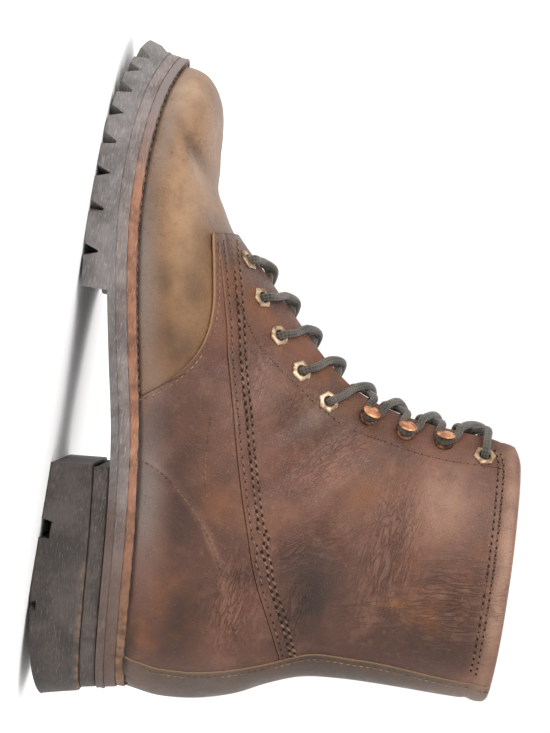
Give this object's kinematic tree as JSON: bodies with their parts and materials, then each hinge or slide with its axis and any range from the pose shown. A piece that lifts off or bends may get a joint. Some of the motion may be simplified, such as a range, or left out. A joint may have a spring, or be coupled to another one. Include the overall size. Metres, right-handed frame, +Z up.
{
  "type": "plain toe boot",
  "caption": "Left plain toe leather work boot with a lapped quarter and tall shaft, laced through eyelets and hooks, on a welted sole with a lugged rubber tread and stacked heel",
  "frame": {"origin": "On the floor under the middle of the sole's outline", "axes": "+X runs forward to the toe, +Y to the outer side of the left foot, +Z up"},
  "size_m": [0.308, 0.1084, 0.2113],
  "materials": {
    "tan_leather": "worn, oiled",
    "brown_leather": "worn, oiled",
    "lining_leather": "plain",
    "welt_leather": "worn",
    "midsole_board": "dusty",
    "black_rubber": "dusty",
    "brass": "worn",
    "copper": "polished",
    "lace_cord": "woven"
  },
  "bodies": {
    "root": {"upper": "tan_leather", "quarter_outer": "brown_leather", "quarter_inner": "brown_leather", "shaft_outer": "brown_leather", "shaft_inner": "brown_leather", "backstay": "brown_leather", "tongue": "brown_leather", "insole": "lining_leather", "welt": "welt_leather", "midsole": "midsole_board", "outsole": "black_rubber", "heel_lift": "black_rubber", "heel_block": "black_rubber", "eyelet_outer_1": "brass", "eyelet_outer_2": "brass", "eyelet_outer_3": "brass", "eyelet_outer_4": "brass", "eyelet_outer_5": "brass", "eyelet_outer_6": "brass", "eyelet_inner_1": "brass", "eyelet_inner_2": "brass", "eyelet_inner_3": "brass", "eyelet_inner_4": "brass", "eyelet_inner_5": "brass", "eyelet_inner_6": "brass", "hook_outer_1": "copper", "hook_outer_2": "copper", "hook_outer_3": "copper", "hook_inner_1": "copper", "hook_inner_2": "copper", "hook_inner_3": "copper", "lace": "lace_cord"}
  },
  "joints": []
}
